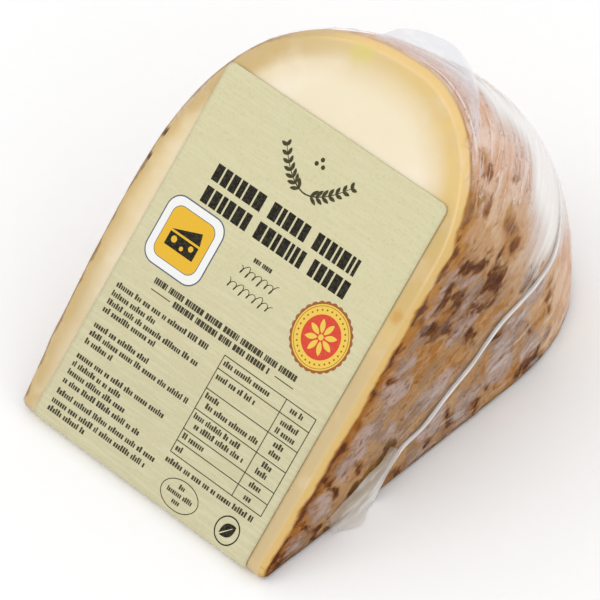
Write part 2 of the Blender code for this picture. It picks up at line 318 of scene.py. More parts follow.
def worn_edge(along, radius, turn):
    """Two edges are a little lumpy from handling: the resting one, and the labelled one on its far side."""
    arc = CUT_ANGLE * radius
    still = along * 0
    resting = 0.0009 * (bumps(along / 8, still, 16) + 0.5 * bumps(along / 4, still, 17))
    labelled = 0.0011 * (bumps(along / 9, still, 18) + 0.4 * bumps(along / 3.6, still, 19))
    far_side = swell(along, 128, 140) * swell(radius, 84, 74)
    return resting * np.exp(-turn * arc / 7) + labelled * far_side * np.exp(-(1 - turn) * arc / 5)


def rind_relief(along, around, radius, turn):
    """Low knobs and pits left by the cloth and by rubbing, drawn out a little along the section."""
    knobs = bumps(along / 9, around / 5, 11) + 0.5 * bumps(along / 3.6, around / 2.2, 12)
    pits = np.clip(bumps(along / 2.6, around / 2.0, 13) - 0.28, 0, 1)
    return 0.00016 * knobs - 0.0006 * pits + worn_edge(along, radius, turn)


def paste_relief(x, up):
    """The knife left the cut almost flat."""
    return 0.00005 * bumps(x / 14, up / 18, 14) + 0.00002 * bumps(x / 3, up / 5, 15)


CHEESE_ROWS = 368
CHEESE_COLUMNS = 172
CHEESE_RINGS = [*np.linspace(0, 0.14, 6)[1:], *np.linspace(0.14, 1, 13)[1:]]
CHEESE_GRID = (CHEESE_ROWS, CHEESE_COLUMNS, CHEESE_RINGS)
cheese = wedge_form("cheese", *CHEESE_GRID, FILM_DEPTH, rind_relief, paste_relief)


def tint(red, green, blue):
    """A colour given as the eye sees it, 0 to 255, in the linear light that shaders take."""
    levels = [level / 255 for level in (red, green, blue)]
    return (*[v / 12.92 if v <= 0.04045 else ((v + 0.055) / 1.055) ** 2.4 for v in levels], 1.0)


class Finish:
    """A procedural finish, put together node by node round one Principled shader."""

    def __init__(self, name, roughness=0.5, **sockets):
        self.material = bpy.data.materials.new(name)
        self.material.use_nodes = True
        self.tree = self.material.node_tree
        self.shader = self.tree.nodes["Principled BSDF"]
        self.shader.inputs["Roughness"].default_value = roughness
        for socket, value in sockets.items():
            self.shader.inputs[socket.replace("_", " ").title()].default_value = value

    def feed(self, socket, value):
        if isinstance(value, bpy.types.NodeSocket):
            self.tree.links.new(value, socket)
        else:
            socket.default_value = value

    def shader_node(self, kind, *values, **settings):
        """A node of this kind with its settings, and with numbers or other nodes in its first sockets."""
        node = self.tree.nodes.new("ShaderNode" + kind)
        for setting, choice in settings.items():
            setattr(node, setting, choice)
        for socket, value in zip(node.inputs, values):
            self.feed(socket, value)
        return node

    def mark(self, name):
        """The value that the mesh carries under this name."""
        return self.shader_node("Attribute", attribute_name=name).outputs["Fac"]

    def maths(self, operation, *values):
        return self.shader_node("Math", *values, operation=operation).outputs[0]

    def plus(self, first, second):
        return self.maths("ADD", first, second)

    def scaled(self, value, factor, offset):
        return self.maths("MULTIPLY_ADD", value, factor, offset)

    def rest_of(self, share):
        return self.maths("SUBTRACT", 1.0, share)

    def times(self, *values):
        product = values[0]
        for value in values[1:]:
            product = self.maths("MULTIPLY", product, value)
        return product

    def most(self, first, second):
        return self.maths("MAXIMUM", first, second)

    def place(self, x, y, z=0.0):
        return self.shader_node("CombineXYZ", x, y, z).outputs[0]

    def here(self, across=1.0, lengthwise=1.0, upward=1.0):
        """The object's own coordinates in millimetres, squeezed by the three factors."""
        where = self.shader_node("TexCoord").outputs["Object"]
        factors = (across * MM, lengthwise * MM, upward * MM)
        return self.shader_node("VectorMath", where, factors, operation="MULTIPLY").outputs[0]

    def axes(self):
        """The object's own coordinates in millimetres one by one: across, lengthwise and upward."""
        return tuple(self.shader_node("SeparateXYZ", self.here()).outputs)

    def skin(self, along_size, across_size, offset=0.0):
        """A place on the skin counted in features of these sizes in millimetres."""
        along = self.maths("DIVIDE", self.mark("along"), along_size)
        across = self.maths("DIVIDE", self.mark("across"), across_size)
        return self.place(along, across, offset)

    def clouds(self, where, size=1.0, detail=2.0, roughness=0.5, warp=0.0):
        node = self.shader_node("TexNoise", where)
        settings = {"Scale": 1 / size, "Detail": detail, "Roughness": roughness, "Distortion": warp}
        for socket, value in settings.items():
            self.feed(node.inputs[socket], value)
        return node.outputs[0]

    def between(self, value, low, high):
        """Rises softly from 0 at low to 1 at high, or falls where low is the larger."""
        ends = (0.0, 1.0) if low < high else (1.0, 0.0)
        limits = (min(low, high), max(low, high))
        node = self.shader_node("MapRange", value, *limits, *ends, interpolation_type="SMOOTHSTEP")
        return node.outputs[0]

    def over(self, under, colour, share):
        """Lays a colour over what is there, by a share from 0 to 1."""
        node = self.shader_node("Mix", share, data_type="RGBA")
        self.feed(node.inputs[6], under)
        self.feed(node.inputs[7], colour)
        return node.outputs[2]

    def mingled(self, first, second, value, low, high):
        """The first colour where the value is low, the second where it is high."""
        return self.over(first, second, self.between(value, low, high))

    def colour(self, value):
        self.ground = value
        self.feed(self.shader.inputs["Base Color"], value)

    def lay(self, colour, *shares):
        """Lays a colour over the finish as it stands, by the product of these shares."""
        self.colour(self.over(self.ground, colour, self.times(*shares)))

    def opacity(self, value):
        self.feed(self.shader.inputs["Alpha"], value)

    def relief(self, height, depth):
        """Fine relief: height from 0 to 1, depth in metres."""
        node = self.shader_node("Bump")
        node.inputs["Distance"].default_value = depth
        self.feed(node.inputs["Height"], height)
        self.feed(self.shader.inputs["Normal"], node.outputs[0])

    def spot(self, x, y, z, radius, ragged=0.5):
        """1 inside a ragged ball round this point and 0 outside it; millimetres."""
        gap = self.shader_node("VectorMath", self.here(), (x, y, z), operation="DISTANCE").outputs["Value"]
        reach = self.scaled(self.clouds(self.here(), radius, 4, 0.6), 2 * ragged, 1 - ragged)
        return self.between(self.maths("DIVIDE", gap, self.times(reach, radius)), 1.3, 0.3)


# The paste: cream in the middle, golden and translucent in the last few millimetres before the rind. The
# gold is deepest half way up the near side and paler on the far side. Low down it is paler and painted
# darker, as shade where less light falls.
RIGHT_GOLD = tint(222, 191, 120)
LEFT_GOLD = tint(216, 191, 136)
# Painted shade: the gold low down, darker where less light falls.
LOW_SHADED_GOLD = tint(203, 179, 130)
DEEP_GOLD = tint(202, 172, 104)
PASTE_STAINS = (
    (tint(200, 138, 30), (33.6, 46.1, 46.1), 1.6, 0.8),
    (tint(216, 202, 104), (-3.5, 75.6, 75.6), 3.4, 0.7),
)


def paste_finish():
    paste = Finish("cheese_paste", 0.45, coat_weight=0.2, coat_roughness=0.14, subsurface_weight=0.12)
    paste.shader.inputs["Subsurface Radius"].default_value = (1.0, 0.55, 0.25)
    paste.shader.inputs["Subsurface Scale"].default_value = 0.002
    across, lengthwise, upward = paste.axes()
    at_edge = paste.mark("edge")
    broad = paste.clouds(paste.here(), 26, 2)
    fine = paste.clouds(paste.here(), 7, 3)
    wander = paste.scaled(paste.clouds(paste.here(), 11, 2), 3.0, -1.5)
    right = paste.between(across, -14, 22)
    edge = paste.plus(paste.plus(at_edge, wander), paste.scaled(right, -1.4, 1.4))

    gold = paste.over(LEFT_GOLD, RIGHT_GOLD, right)
    # Low down the gold is painted darker: painted shade where less light falls.
    gold = paste.mingled(gold, LOW_SHADED_GOLD, paste.scaled(right, -12.0, upward), 38, 20)
    deeper = paste.times(0.85, right, paste.between(upward, 66, 60), paste.between(upward, 41, 49))
    gold = paste.over(gold, DEEP_GOLD, deeper)
    gold = paste.over(gold, tint(204, 166, 98), paste.times(0.3, right, paste.between(fine, 0.46, 0.66)))

    paste.colour(paste.mingled(tint(236, 223, 192), tint(241, 229, 206), broad, 0.4, 0.65))
    paste.lay(gold, 0.55, paste.between(edge, 13.0, 6.0))
    paste.lay(gold, paste.between(edge, 8.0, 3.6))
    near_rim = paste.mingled(tint(212, 184, 126), tint(236, 204, 142), lengthwise, 44, 66)
    paste.lay(near_rim, 0.8, paste.between(across, -26, -8), paste.between(at_edge, 2.6, 1.6))
    far_edge = paste.scaled(paste.between(upward, 50, 62), -3.0, edge)
    paste.lay(tint(200, 170, 110), 0.85, paste.between(across, -4, -24), paste.between(far_edge, 5.6, 2.6))
    paste.lay(tint(246, 236, 214), 0.2, paste.between(fine, 0.5, 0.75))
    for stain, place, radius, ragged in PASTE_STAINS:
        paste.lay(stain, 0.6, paste.spot(*place, radius, ragged))
    paste.relief(paste.clouds(paste.here(), 0.9, 4), 0.00004)
    return paste.material


# The rind, under film: a tan ground with grey mauve bloom, burnt orange patches, dark brown clusters where
# the oil and paprika took, and olive where the film pinches it. Towards the crown it is an even tan. A patch
# is its place along the section in mm, its turn, half its length in mm and half its width as a turn.
BLOOM_PATCHES = (
    (7.5, 0.46, 3.0, 0.36), (16.5, 0.6, 3.0, 0.27), (25.0, 0.75, 1.6, 0.16), (30.0, 0.68, 4.0, 0.11),
    (36.5, 0.64, 3.4, 0.2), (44.5, 0.79, 3.8, 0.1), (50.0, 0.84, 2.2, 0.1), (48.0, 0.43, 6.0, 0.07),
    (47.0, 0.14, 4.4, 0.13), (56.5, 0.15, 2.8, 0.13), (66.0, 0.925, 7.2, 0.06), (71.0, 0.81, 1.4, 0.08),
    (62.5, 0.62, 4.4, 0.075), (68.5, 0.69, 4.4, 0.055), (70.5, 0.29, 5.2, 0.11), (79.5, 0.345, 4.2, 0.045),
    (75.5, 0.13, 2.4, 0.08), (66.5, 0.2, 3.0, 0.1),
)
AMBER_PATCHES = (
    (13.5, 0.93, 3.2, 0.14), (29.5, 0.93, 5.0, 0.11), (20.0, 0.9, 2.0, 0.12), (39.5, 0.94, 3.0, 0.07),
    (52.5, 0.67, 7.8, 0.13), (56.5, 0.47, 4.6, 0.1), (53.0, 0.95, 4.8, 0.08), (62.5, 0.79, 2.0, 0.06),
    (67.5, 0.53, 4.4, 0.045), (75.5, 0.94, 3.4, 0.07), (85.0, 0.95, 6.5, 0.06), (96.0, 0.93, 3.0, 0.05),
    (72.0, 0.47, 3.0, 0.04), (78.5, 0.455, 2.6, 0.035), (79.0, 0.21, 3.4, 0.045), (43.0, 0.18, 1.6, 0.06),
    (63.5, 0.27, 2.6, 0.06), (68.5, 0.08, 4.4, 0.07), (83.5, 0.67, 4.0, 0.08), (35.5, 0.09, 2.4, 0.07),
)
BROWN_PATCHES = (
    (2.6, 0.62, 3.2, 0.55), (6.0, 0.92, 3.2, 0.12), (11.8, 0.55, 0.9, 0.24), (13.2, 0.17, 1.1, 0.17),
    (17.0, 0.1, 1.0, 0.13), (22.0, 0.82, 1.0, 0.16), (21.6, 0.55, 0.9, 0.13), (27.8, 0.5, 1.4, 0.09),
    (29.5, 0.91, 2.0, 0.06), (35.5, 0.9, 1.2, 0.05), (42.0, 0.945, 1.3, 0.04), (46.5, 0.965, 1.8, 0.03),
    (47.0, 0.84, 1.0, 0.05), (58.6, 0.82, 1.8, 0.1), (60.5, 0.73, 1.6, 0.08), (66.0, 0.76, 3.8, 0.05),
    (67.0, 0.85, 4.2, 0.04), (74.0, 0.85, 2.4, 0.05), (74.5, 0.77, 2.6, 0.035), (67.0, 0.61, 2.6, 0.045),
    (62.8, 0.51, 1.5, 0.05), (73.2, 0.64, 3.8, 0.06), (72.0, 0.56, 2.6, 0.025), (82.5, 0.62, 1.3, 0.03),
    (84.0, 0.7, 1.4, 0.03), (78.0, 0.69, 2.0, 0.02), (79.0, 0.44, 1.0, 0.02), (83.8, 0.25, 2.0, 0.035),
    (76.0, 0.22, 0.9, 0.035), (82.0, 0.19, 1.3, 0.03), (59.5, 0.07, 2.0, 0.06), (63.5, 0.125, 1.2, 0.03),
    (72.0, 0.07, 1.5, 0.035), (76.5, 0.04, 4.4, 0.055), (81.0, 0.08, 1.5, 0.025), (43.0, 0.245, 1.6, 0.02),
    (36.0, 0.08, 2.4, 0.05), (46.0, 0.09, 1.5, 0.03), (52.2, 0.14, 1.0, 0.09), (67.5, 0.36, 2.8, 0.016),
    (87.0, 0.86, 2.0, 0.02), (94.0, 0.89, 1.6, 0.02), (94.0, 0.735, 1.2, 0.02),
)
OLIVE_PATCHES = (
    (24.6, 0.34, 1.3, 0.05), (25.2, 0.25, 0.8, 0.07), (29.0, 0.335, 3.0, 0.025), (33.0, 0.35, 2.4, 0.03),
    (36.0, 0.39, 1.6, 0.055), (79.5, 0.43, 2.8, 0.03), (58.8, 0.78, 1.6, 0.1),
)


def patches(spots, along, turn):
    """How deep a place lies in the nearest patch: 1 at its heart, 0 at its rim and below 0 outside it."""
    along = along + 2.4 * bumps(along / 6, turn * 9, 81)
    turn = turn + 0.04 * bumps(along / 5, turn * 10, 82)
    depth = np.full(along.shape, -1.0)
    for place, level, length, width in spots:
        depth = np.maximum(depth, 1 - np.hypot((along - place) / length, (turn - level) / width))
    return depth


cheese_along = marks_of(cheese, "along")
cheese_around = marks_of(cheese, "around")
cheese_turn = cheese_around / TURN_MM
beyond = swell(cheese_along, 92, 112)
far_face = swell(cheese_along, 150, 176)
by_crown_edge = swell(cheese_along, 84, 94) * swell(cheese_along, 152, 134) * swell(cheese_turn, 0.78, 0.9)
for name, spots, length, width, seed, level in (
    ("bloom", BLOOM_PATCHES, 13, 9, 83, -0.05), ("amber", AMBER_PATCHES, 11, 8, 84, -0.1),
    ("brown", BROWN_PATCHES, 8, 6, 85, -0.35), ("olive", OLIVE_PATCHES, 9, 3, 86, -1.0),
):
    scattered = 2.2 * bumps(cheese_along / length, cheese_around / width, seed) + level
    scattered = scattered - 0.6 * (1 - far_face) - 1.5 * by_crown_edge
    near = patches(spots, cheese_along, cheese_turn)
    add_mark(cheese.data, name, np.clip(near * (1 - beyond) + scattered * beyond, -1, 1))

FILM_SHEEN = 0.028
NICKS = ((-35.0, 69.5, 1.5), (-35.6, 63.2, 1.2))


def under_film(red, green, blue):
    """The rind's own colour where it looks like this under the film, which adds a faint white sheen."""
    return (*[max(level - FILM_SHEEN, 0.0) for level in tint(red, green, blue)[:3]], 1.0)


def rind_finish():
    """The mottled skin. Along the labelled cut it is burnt low down and only a thin line higher up."""
    rind = Finish("cheese_rind", 0.5, coat_weight=0.16, coat_roughness=0.15)
    rind.shader.inputs["Specular IOR Level"].default_value = 0.0
    along = rind.mark("along")
    edge = rind.mark("edge")
    fine = rind.clouds(rind.skin(1.5, 1.1, 2.0), 1, 4, 0.65, 0.3)
    stain = rind.clouds(rind.skin(3.6, 2.6, 5.0), 1, 6, 0.58, 0.35)
    cloud = rind.clouds(rind.skin(7, 5, 9.0), 1, 6, 0.52, 0.4)
    broad = rind.clouds(rind.skin(15, 10, 13.0), 1, 3, 0.55, 0.4)

    def laid(name, noise, pull, low, high):
        """Where the patches of this name lie; the noise makes their rims ragged."""
        return rind.between(rind.scaled(rind.mark(name), pull, noise), low, high)

    rind.colour(rind.mingled(under_film(154, 124, 98), under_film(180, 142, 102), broad, 0.42, 0.58))
    tan = rind.mingled(under_film(198, 156, 116), under_film(210, 178, 144), cloud, 0.42, 0.58)
    rind.lay(tan, rind.between(along, 66, 84), rind.between(along, 215, 185))
    pink = rind.mingled(under_film(224, 182, 154), under_film(236, 208, 192), cloud, 0.4, 0.6)
    rind.lay(pink, rind.between(along, 80, 102), rind.between(along, 200, 160))
    amber = rind.mingled(under_film(164, 112, 58), under_film(186, 142, 96), stain, 0.4, 0.6)
    rind.lay(amber, 0.9, laid("amber", cloud, 0.26, 0.43, 0.64))
    bloom = rind.mingled(under_film(146, 124, 112), under_film(182, 160, 150), cloud, 0.4, 0.6)
    bloom = rind.over(bloom, under_film(164, 134, 106), rind.times(0.5, rind.between(stain, 0.5, 0.64)))
    rind.lay(bloom, 0.9, laid("bloom", cloud, 0.26, 0.43, 0.58))
    calm = rind.times(rind.between(along, 70, 92), rind.between(along, 200, 160))
    busy = rind.scaled(calm, -0.6, 1.0)
    rind.lay(under_film(224, 198, 168), 0.3, busy, rind.between(fine, 0.44, 0.3))
    olive = rind.mingled(under_film(96, 68, 22), under_film(134, 100, 48), stain, 0.4, 0.6)
    rind.lay(olive, 0.9, laid("olive", cloud, 0.26, 0.42, 0.56))
    rind.lay(under_film(146, 100, 62), 0.7, laid("brown", stain, 0.2, 0.36, 0.56))
    brown = rind.mingled(under_film(124, 80, 48), under_film(80, 52, 34), fine, 0.38, 0.54)
    brown = rind.over(brown, under_film(158, 106, 68), rind.times(0.85, rind.between(along, 77, 88)))
    rind.lay(brown, 0.9, laid("brown", stain, 0.24, 0.48, 0.64))
    dots = rind.between(rind.clouds(rind.skin(3.0, 2.0, 21.0), 1, 4, 0.62), 0.6, 0.66)
    by_crown_edge = rind.times(rind.between(along, 84, 94), rind.between(edge, -9, -4))
    rind.lay(under_film(118, 74, 46), dots, rind.scaled(calm, -0.48, 0.6), rind.rest_of(by_crown_edge))
    rind.lay(under_film(84, 52, 32), 0.36, busy, rind.between(fine, 0.52, 0.7))

    label_side = rind.between(rind.mark("across"), -0.5, 0.5)
    lower = rind.between(along, 98, 74)
    far_side = rind.between(along, 132, 150)
    char = rind.clouds(rind.skin(3.4, 3.0, 25.0), 1, 5, 0.62, 0.3)
    reach = rind.plus(edge, rind.scaled(char, 12.0, -6.0))
    scorch = rind.scaled(edge, 0.04, rind.clouds(rind.skin(6, 4, 33.0), 1, 5, 0.6, 0.4))
    burnt = rind.mingled(under_film(156, 100, 36), under_film(184, 130, 68), along, 44, 66)
    burnt = rind.over(burnt, under_film(84, 48, 20), rind.times(0.9, rind.between(scorch, 0.36, 0.47)))
    rind.lay(burnt, 0.9, label_side, lower, rind.between(reach, -6.8, -2.2))
    rind.lay(under_film(92, 66, 46), 0.75, rind.rest_of(label_side), rind.between(edge, -2.8, -1.0))
    line = rind.mingled(under_film(180, 130, 72), under_film(208, 186, 144), along, 100, 114)
    line = rind.mingled(line, under_film(160, 132, 94), along, 146, 164)
    rind.lay(line, 0.85, label_side, rind.rest_of(lower), rind.between(edge, -2.3, -1.3))
    wave = rind.clouds(rind.skin(6.5, 6.5, 37.0), 1, 3, 0.5)
    rim = rind.plus(edge, rind.times(lower, rind.scaled(wave, 4.0, -2.4)))
    rim = rind.plus(rim, rind.times(far_side, rind.scaled(wave, -5.0, 1.1)))
    rind.lay(under_film(196, 140, 70), 0.8, lower, label_side, rind.between(rim, -1.9, -0.9))
    paste_rim = rind.over(tint(234, 200, 136), tint(216, 182, 116), lower)
    paste_rim = rind.over(paste_rim, tint(204, 178, 126), far_side)
    rind.lay(paste_rim, label_side, rind.between(rim, -1.3, -0.3))
    for x, up, radius in NICKS:
        nick = rind.spot(x, up * math.cos(CUT_ANGLE), up * math.sin(CUT_ANGLE), radius, 0.6)
        rind.lay(under_film(92, 62, 34), 0.9, nick)
    rind.relief(rind.clouds(rind.skin(1.5, 1.1, 29.0), 1, 4, 0.6), 0.0003)
    return rind.material


def dress(piece, *finishes):
    """Finishes a part of the wrapped wedge and lets it take its place there."""
    for finish in finishes:
        piece.data.materials.append(finish)
    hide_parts("film_wrapped_wedge")
    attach(piece, "root")


dress(cheese, paste_finish(), rind_finish())

# The film. A bag of clear, glossy plastic, drawn tight by the vacuum. It lies smooth on the cuts, and over
# the shoulders and the rim it gathers in creases that run along the section, with painted highlights on
# their crests. Where it stands off the near shoulder it turns milky, painted white for its reflection too.
FILM_ROWS = 270
FILM_COLUMNS = 225
FILM_RINGS = [*np.linspace(0, 0.14, 6)[1:], *np.linspace(0.14, 1, 14)[1:]]
CREASE_HEIGHT = 0.00038
HOLLOW_DEPTH = 0.00012
SLACK_FROM = (34.0, 96.0)
SLACK_TO = (190.0, 236.0)
# Where and how deep the white veil lies: milky film, painted whiter for its reflection of the light.
VEIL_TURNS = (0.0, 0.1, 0.2, 0.3, 0.35, 0.4, 0.5, 0.58, 0.65, 0.75, 0.85, 0.95, 1.0)
VEIL_STARTS = (100.0, 99.0, 97.0, 93.0, 87.0, 81.0, 80.0, 85.0, 92.0, 99.0, 106.0, 118.0, 128.0)
VEIL_AND_REFLECTION_DEPTH = (0.4, 0.5, 0.6, 0.7, 0.82, 0.88, 0.92, 0.94, 0.95, 0.95, 0.93, 0.4, 0.1)


def crease_lines(along, around):
    """1 on the crest of a crease and 0 between. Creases wander, fork and fade out."""
    wander = 3.4 * bumps(along / 27, around / 13, 31) + 1.1 * bumps(along / 9, around / 7, 32)
    wide = np.clip(1 - np.abs(bumps(along / 38, (around + wander) / 5.6, 33)) * 9, 0, 1) ** 1.5
    narrow = np.clip(1 - np.abs(bumps(along / 17, (around + wander) / 2.6, 34)) * 6, 0, 1) ** 1.5
    wide *= swell(bumps(along / 22, around / 11, 35), 0.0, 0.25)
    narrow *= swell(bumps(along / 12, around / 9, 38), 0.05, 0.3)
    return np.maximum(wide, 0.7 * narrow)


def slackness(along):
    """How loosely the film lies: not at all near the tip, most over the two shoulders and the crown."""
    return swell(along, *SLACK_FROM) * swell(along, *SLACK_TO[::-1])


def film_relief(along, around, radius, turn):
    """Creases and hollows where the film is slack. Over the near shoulder the creases are low."""
    hollow = bumps(along / 24, around / 7, 36)
    calm = 1 - 0.9 * swell(along, 76, 90) * swell(along, 126, 112)
    creases = CREASE_HEIGHT * calm * crease_lines(along, around)
    return slackness(along) * (creases + HOLLOW_DEPTH * hollow) + worn_edge(along, radius, turn)


def film_on_cut(x, up):
    """The film lies almost flat on the cuts."""
    return 0.00001 * bumps(x / 22, up / 30, 37)


film = wedge_form("film", FILM_ROWS, FILM_COLUMNS, FILM_RINGS, 0.0, film_relief, film_on_cut)
film_along = marks_of(film, "along")
film_around = marks_of(film, "around")
film_turn = film_around / TURN_MM


def film_bumps(length, width, seed):
    """Random relief over the film, in hills of this length and width in millimetres."""
    return bumps(film_along / length, film_around / width, seed)


# The veil: milky where the film stands off, and painted white there as its reflection of the light.
veil_start = np.interp(film_turn, VEIL_TURNS, VEIL_STARTS) + 6 * film_bumps(12, 6, 41)
veil_start += 3 * film_bumps(20, 1.7, 46)
veil_and_reflection = np.interp(film_turn, VEIL_TURNS, VEIL_AND_REFLECTION_DEPTH) * swell(film_along - veil_start, -6, 13)
streak = 0.9 * film_bumps(30, 5, 44) + 0.9 * film_bumps(20, 1.8, 45)
hidden_side = swell(film_along, 108, 120)
veil_and_reflection *= 1 - hidden_side + hidden_side * np.clip(0.75 * swell(film_along, 152, 112) + streak, 0, 1)
back_veil_and_reflection = 0.35 * swell(film_along, 168, 186) * swell(film_along, 222, 200)
back_veil_and_reflection *= swell(film_bumps(26, 12, 42), -0.1, 0.3)
low_gathers = 0.8 * swell(film_along, 30, 44) * swell(film_along, 100, 84) * swell(film_turn, 0.5, 0.34)
veins = np.clip(1 - np.abs(bumps(film_along / 11 + film_around / 9, film_around / 5, 48)) * 6, 0, 1) ** 1.5
# Crease crests and the veins of the low gathers: there the film is painted white as highlights on its
# creases.
crest = np.maximum(slackness(film_along) * crease_lines(film_along, film_around), low_gathers * veins)
near_pleats = swell(film_along, 82, 90) * swell(film_along, 128, 114) * swell(film_turn, 0.42, 0.6)
far_pleats = swell(film_along, 148, 164) * swell(film_along, 210, 192)
add_mark(film.data, "veil_and_reflection", np.maximum(veil_and_reflection, back_veil_and_reflection))
add_mark(film.data, "crest", crest)
add_mark(film.data, "pleats", np.maximum(near_pleats, far_pleats))


def film_finish():
    """Clear on the cheese, with painted highlights along creases; milky, with painted reflection, where it
    stands off the near shoulder.
    """
    clear = Finish("clear_film", 0.14)
    along = clear.mark("along")
    edge = clear.mark("edge")
    veil_and_reflection = clear.mark("veil_and_reflection")
    thread = clear.clouds(clear.skin(18, 2.4, 31.0), 1, 3, 0.55, 0.4)
    pleat = clear.clouds(clear.skin(8.0, 2.2, 43.0), 1, 2, 0.45, 0.6)
    broken = clear.between(clear.clouds(clear.skin(4.5, 3.0, 47.0), 1, 2, 0.5), 0.42, 0.54)
    pleats = clear.times(clear.mark("pleats"), broken, clear.between(edge, -1.0, -3.0))
    # Each pleat gets a painted highlight on one side and a painted shade on the other.
    pleat_painted_highlight = clear.times(clear.between(pleat, 0.5, 0.53), clear.between(pleat, 0.58, 0.54))
    pleat_painted_shade = clear.times(clear.between(pleat, 0.45, 0.475), clear.between(pleat, 0.5, 0.485))
    pleat_painted_shade = clear.times(pleat_painted_shade, clear.between(veil_and_reflection, 0.8, 0.2))
    # The shaded side of the pleats is painted brown: painted shade.
    clear.colour(clear.over(tint(250, 245, 241), tint(176, 124, 92), pleat_painted_shade))
    # The veil's white is partly milky film and partly painted reflection.
    smooth_veil_and_reflection = clear.times(veil_and_reflection, clear.scaled(clear.between(thread, 0.36, 0.64), 0.06, 0.94))
    pleat_light_and_shade = clear.times(pleats, clear.scaled(pleat_painted_shade, 0.52, clear.times(pleat_painted_highlight, 0.42)))
    # White along the crease crests: painted highlights.
    creases = clear.times(clear.mark("crest"), clear.between(thread, 0.4, 0.6), 0.46)
    near_crown = clear.times(clear.between(along, 92, 100), clear.between(along, 132, 118))
    # A thin white line along the crown edge: a painted highlight on a crease of the film.
    edge_crease_highlight = clear.times(clear.between(edge, -4.0, -3.4), clear.between(edge, -2.6, -3.1))
    edge_crease_highlight = clear.times(0.6, edge_crease_highlight, near_crown, clear.between(clear.mark("across"), 0.0, 1.0))
    share = clear.most(clear.most(creases, pleat_light_and_shade), clear.most(smooth_veil_and_reflection, edge_crease_highlight))
    clear.opacity(clear.plus(share, 0.01))
    clear.relief(pleat, 0.0002)
    return clear.material


clear_film = film_finish()
dress(film, clear_film, clear_film)

# Folds of the same film. Where the bag was wider than the cheese, the spare film is drawn together into a
# white roll up the near flat face, a web at its foot and a flat ear off the rim behind the label. Places are
# given along the section in mm and as a turn from 0 at the resting cut to 1 at the labelled cut.
OUTLINE_POINTS = 600
outline_x, outline_radius, outline_along = section_line(OUTLINE_POINTS)
ROLL_PATH = (
    (28.5, 0.02), (31.0, 0.12), (34.0, 0.21), (38.5, 0.278), (44.5, 0.276), (51.7, 0.325), (60.1, 0.358),
    (65.0, 0.389), (70.0, 0.408), (75.6, 0.400), (80.7, 0.383), (87.4, 0.363), (93.2, 0.378), (99.0, 0.402),
    (106.0, 0.45),
)
ROLL_WIDTH = 1.45
ROLL_HEIGHT = 0.5
ROLL_LIFT = 0.2
ROLL_STEPS = 150
ROLL_SIDES = 12
FAN_TOP = ((36.1, 0.40), (32.5, 0.342), (28.9, 0.338), (25.3, 0.330), (20.4, 0.322), (15.6, 0.29))
FAN_FOOT = ((38.2, 0.285), (34.4, 0.21), (31.0, 0.115), (28.0, 0.02), (24.0, 0.012), (17.5, 0.012))
FAN_STEPS = 60
FAN_COLUMNS = 22
TOE_PLACE = 0.83
TOE_WIDTH = 0.12
TOE_REACH = 9.0
TOE_HEADING = np.array([0.75, -0.1, 0])
EAR_PROFILE = (
    (-5.0, 0.0), (-2.8, 2.0), (-0.9, 3.5), (3.5, 4.9), (8.4, 5.7), (11.7, 5.9), (16.0, 5.4), (20.0, 4.9),
    (23.0, 3.6), (26.0, 1.4), (28.0, 0.0),
)
EAR_TURN = 1 - math.radians(2.2) / CUT_ANGLE
EAR_STEPS = 110
EAR_ROWS = 12
EAR_ROOT_DEPTH = 0.8
ROLL_FLOOR_GAP = 0.00005
FAN_FLOOR_GAP = 0.0001


def on_skin(along, turn, lift=0.0):
    """Points over the skin at these places, lifted by so many millimetres, and the way out of the skin."""
    def skin_point(s, t):
        x = np.interp(s, outline_along * MM, outline_x)
        return on_wheel(x, np.interp(s, outline_along * MM, outline_radius), t)

    along, turn, lift = np.broadcast_arrays(np.asarray(along, float), np.asarray(turn, float), lift)
    point = skin_point(along, turn)
    lengthwise = skin_point(along + 0.4, turn) - skin_point(along - 0.4, turn)
    out = unit(np.cross(lengthwise, skin_point(along, turn + 0.005) - point))
    return point + out * lift[..., None] / MM, out


def smooth_line(points, count):
    """A curve through all the points, evenly stepped between each two."""
    points = np.asarray(points, float)
    before = np.concatenate([2 * points[:1] - points[1:2], points, 2 * points[-1:] - points[-2:-1]])
    place = np.linspace(0, len(points) - 1, count)
    step = np.minimum(place.astype(int), len(points) - 2)
    t = (place - step)[:, None]
    a, b, c, d = (before[step + i] for i in range(4))
    return 0.5 * (2 * b + (c - a) * t + (2 * a - 5 * b + 4 * c - d) * t**2 + (3 * b - a - 3 * c + d) * t**3)


def grid_piece(name, points, closed=False, **marks):
    """A piece from a grid of points; closed joins each row's end to its start and caps the two end rows."""
    rows, columns = points.shape[:2]
    index = np.arange(rows * columns).reshape(rows, columns)
    if closed:
        index = np.concatenate([index, index[:, :1]], 1)
    faces = grid_faces(index).tolist()
    if closed:
        faces += [index[0, :-1].tolist(), index[-1, -2::-1].tolist()]
    piece = new_piece(name, points, faces)
    for mark, values in marks.items():
        add_mark(piece.data, mark, np.broadcast_to(values, (rows, columns)).ravel())
    return piece


def fold_finish(name, colour, opacity, streak_depth, far_colour=None, soft_rims=False):
    """Gathered film: milky, with fine lines that run with the fold. far_colour is the tint at cross 4."""
    fold = Finish(name, 0.2)
    run, cross = fold.mark("run"), fold.mark("cross")
    if far_colour:
        colour = fold.mingled(colour, far_colour, cross, 1.0, 4.0)
    lines = fold.clouds(fold.place(fold.times(run, 0.12), cross), 1, 3, 0.5, 0.3)
    fold.colour(fold.over(colour, tint(250, 250, 250), fold.times(0.5, fold.between(lines, 0.4, 0.7))))
    share = fold.scaled(fold.between(lines, 0.3, 0.7), streak_depth, opacity - streak_depth / 2)
    if soft_rims:
        share = fold.times(share, fold.between(fold.maths("ABSOLUTE", cross), 2.0, 0.8))
    fold.opacity(fold.times(share, fold.mark("body")))
    fold.relief(lines, 0.0002)
    return fold.material


